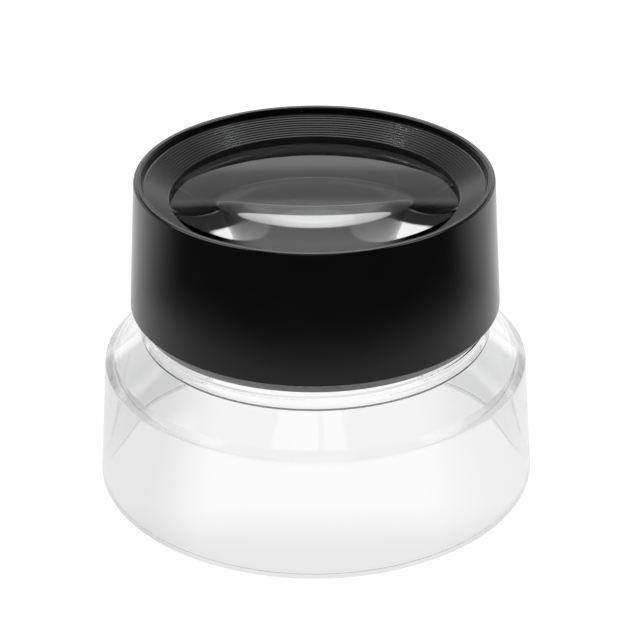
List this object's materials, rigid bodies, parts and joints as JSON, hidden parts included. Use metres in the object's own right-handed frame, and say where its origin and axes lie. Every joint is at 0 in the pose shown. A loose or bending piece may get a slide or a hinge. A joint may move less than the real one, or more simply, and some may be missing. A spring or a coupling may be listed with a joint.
{
  "type": "stand loupe",
  "caption": "Stand magnifier: a black lens barrel screws up and down on the threaded neck of a clear flared skirt that rests on the page or film.",
  "frame": {"origin": "centre of the stand's foot, on the surface it rests on", "axes": "+Z along the optical axis, up from the foot to the eye side; X and Y are free, because the object is turned about Z"},
  "size_m": [0.088, 0.088, 0.0635],
  "materials": {
    "clear_acrylic": "polished clear acrylic",
    "black_casing": "moulded, satin gloss",
    "black_matte": "moulded, matt, ribbed",
    "black_cell": "moulded, matt",
    "coated_glass": "polished, anti-reflection coated",
    "black_spacer": "moulded, matt",
    "soft_rubber": "soft, matt"
  },
  "bodies": {
    "stand": {"base": "clear_acrylic"},
    "lens_unit": {"lens_cell": "black_cell", "upper_lens": "coated_glass", "lens_spacer": "black_spacer", "lower_lens": "coated_glass", "cushion_ring": "soft_rubber", "retaining_ring": "black_cell"},
    "focus_ring": {"barrel": "black_casing", "glare_ring": "black_matte"}
  },
  "joints": [
    {"name": "focus_travel", "type": "slide", "parent": "stand", "child": "lens_unit", "axis": [0, 0, 1], "range_m": [-0.003, 0.003]},
    {"name": "focus_turn", "type": "hinge", "parent": "lens_unit", "child": "focus_ring", "pos_m": [0, 0, 0.0353], "axis": [0, 0, 1], "range_deg": [-360, 360]}
  ],
  "couplings": [
    {"joint": "focus_travel", "follows": "focus_turn", "m_per_rad": 0.00047746}
  ]
}
